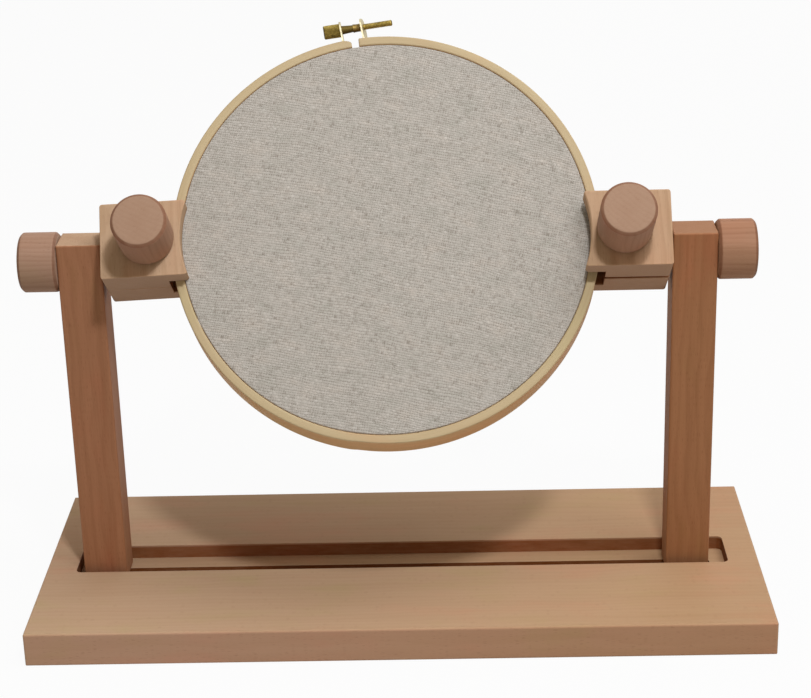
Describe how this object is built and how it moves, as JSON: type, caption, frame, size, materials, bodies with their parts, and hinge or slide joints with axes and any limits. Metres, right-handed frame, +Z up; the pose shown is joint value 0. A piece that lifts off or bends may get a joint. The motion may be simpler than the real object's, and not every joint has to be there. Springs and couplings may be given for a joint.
{
  "type": "embroidery hoop stand",
  "caption": "Wooden table stand that holds an embroidery hoop between tilting clamps on sliding posts.",
  "frame": {"origin": "centre of the base board's underside, on the surface it stands on", "axes": "+X along the base board to the stitcher's right, +Y away from the stitcher, +Z up"},
  "size_m": [0.377, 0.16, 0.294],
  "materials": {
    "board_wood": "fine-sanded beech, waxed",
    "post_wood": "fine-sanded beech, redder stock",
    "jaw_wood": "fine-sanded pale beech",
    "knob_wood": "turned beech with open end grain",
    "ring_wood": "steam-bent beech strip, satin",
    "linen": "natural plain-woven linen with slubs",
    "brass": "bright turned brass",
    "steel": "zinc-plated"
  },
  "bodies": {
    "base": {"base_board": "board_wood"},
    "left_post": {"left_post": "post_wood", "left_post_insert": "brass"},
    "left_post_bolt": {"left_post_bolt": "steel", "left_post_washer": "steel"},
    "left_clamp": {"left_back_jaw": "jaw_wood", "left_clamp_insert": "brass", "left_tilt_insert": "brass"},
    "left_front_jaw": {"left_front_jaw": "jaw_wood"},
    "left_clamp_knob": {"left_clamp_knob": "knob_wood", "left_clamp_stud": "steel"},
    "left_tilt_knob": {"left_tilt_knob": "knob_wood", "left_tilt_stud": "steel"},
    "right_post": {"right_post": "post_wood", "right_post_insert": "brass"},
    "right_post_bolt": {"right_post_bolt": "steel", "right_post_washer": "steel"},
    "right_clamp": {"right_back_jaw": "jaw_wood", "right_clamp_insert": "brass", "right_tilt_insert": "brass"},
    "right_front_jaw": {"right_front_jaw": "jaw_wood"},
    "right_clamp_knob": {"right_clamp_knob": "knob_wood", "right_clamp_stud": "steel"},
    "right_tilt_knob": {"right_tilt_knob": "knob_wood", "right_tilt_stud": "steel"},
    "hoop": {"hoop_outer_ring": "ring_wood", "hoop_inner_ring": "ring_wood", "linen": "linen", "linen_edge": "linen", "hoop_left_lug": "brass", "hoop_right_lug": "brass", "hoop_screw_sleeve": "brass"},
    "hoop_screw": {"hoop_screw": "brass"}
  },
  "joints": [
    {"name": "left_post_slide", "type": "slide", "parent": "base", "child": "left_post", "axis": [1, 0, 0], "range_m": [-0.003, 0.001]},
    {"name": "left_post_bolt_turn", "type": "hinge", "parent": "left_post", "child": "left_post_bolt", "pos_m": [-0.15725, 0.0015, 0], "axis": [0, 0, -1], "range_deg": [-360, 360]},
    {"name": "left_tilt", "type": "hinge", "parent": "left_post", "child": "left_clamp", "pos_m": [-0.146, 0.0015, 0.1866], "axis": [1, 0, 0], "continuous": true},
    {"name": "left_jaw_slide", "type": "slide", "parent": "left_clamp", "child": "left_front_jaw", "axis": [0, -0.8039, 0.5948], "range_m": [0, 0.004]},
    {"name": "left_clamp_knob_turn", "type": "hinge", "parent": "left_front_jaw", "child": "left_clamp_knob", "pos_m": [-0.1204, -0.01316, 0.19932], "axis": [0, -0.8039, 0.5948], "range_deg": [0, 1440]},
    {"name": "left_tilt_knob_turn", "type": "hinge", "parent": "left_clamp", "child": "left_tilt_knob", "pos_m": [-0.15725, 0.0015, 0.1866], "axis": [-1, 0, 0], "range_deg": [0, 360]},
    {"name": "right_post_slide", "type": "slide", "parent": "base", "child": "right_post", "axis": [1, 0, 0], "range_m": [-0.001, 0.0095]},
    {"name": "right_post_bolt_turn", "type": "hinge", "parent": "right_post", "child": "right_post_bolt", "pos_m": [0.15125, 0.0015, 0], "axis": [0, 0, -1], "range_deg": [-360, 360]},
    {"name": "right_tilt", "type": "hinge", "parent": "right_post", "child": "right_clamp", "pos_m": [0.14, 0.0015, 0.1866], "axis": [1, 0, 0], "continuous": true},
    {"name": "right_jaw_slide", "type": "slide", "parent": "right_clamp", "child": "right_front_jaw", "axis": [0, -0.8039, 0.5948], "range_m": [-0.003, 0.004]},
    {"name": "right_clamp_knob_turn", "type": "hinge", "parent": "right_front_jaw", "child": "right_clamp_knob", "pos_m": [0.1144, -0.01316, 0.19932], "axis": [0, -0.8039, 0.5948], "range_deg": [-1080, 1440]},
    {"name": "right_tilt_knob_turn", "type": "hinge", "parent": "right_clamp", "child": "right_tilt_knob", "pos_m": [0.15125, 0.0015, 0.1866], "axis": [1, 0, 0], "range_deg": [0, 360]},
    {"name": "hoop_turn", "type": "hinge", "parent": "left_clamp", "child": "hoop", "pos_m": [-0.003, -0.0112, 0.20197], "axis": [0, -0.8039, 0.5948], "range_deg": [-60, 45]},
    {"name": "hoop_screw_turn", "type": "hinge", "parent": "hoop", "child": "hoop_screw", "pos_m": [-0.01919, 0.06494, 0.2889], "axis": [0.9903, 0.0828, 0.1119], "range_deg": [-360, 360]}
  ],
  "couplings": [
    {"joint": "left_clamp_knob_turn", "follows": "left_jaw_slide", "rad_per_m": 6283.2},
    {"joint": "right_clamp_knob_turn", "follows": "right_jaw_slide", "rad_per_m": 6283.2},
    {"joint": "right_tilt", "follows": "left_tilt", "ratio": 1}
  ]
}
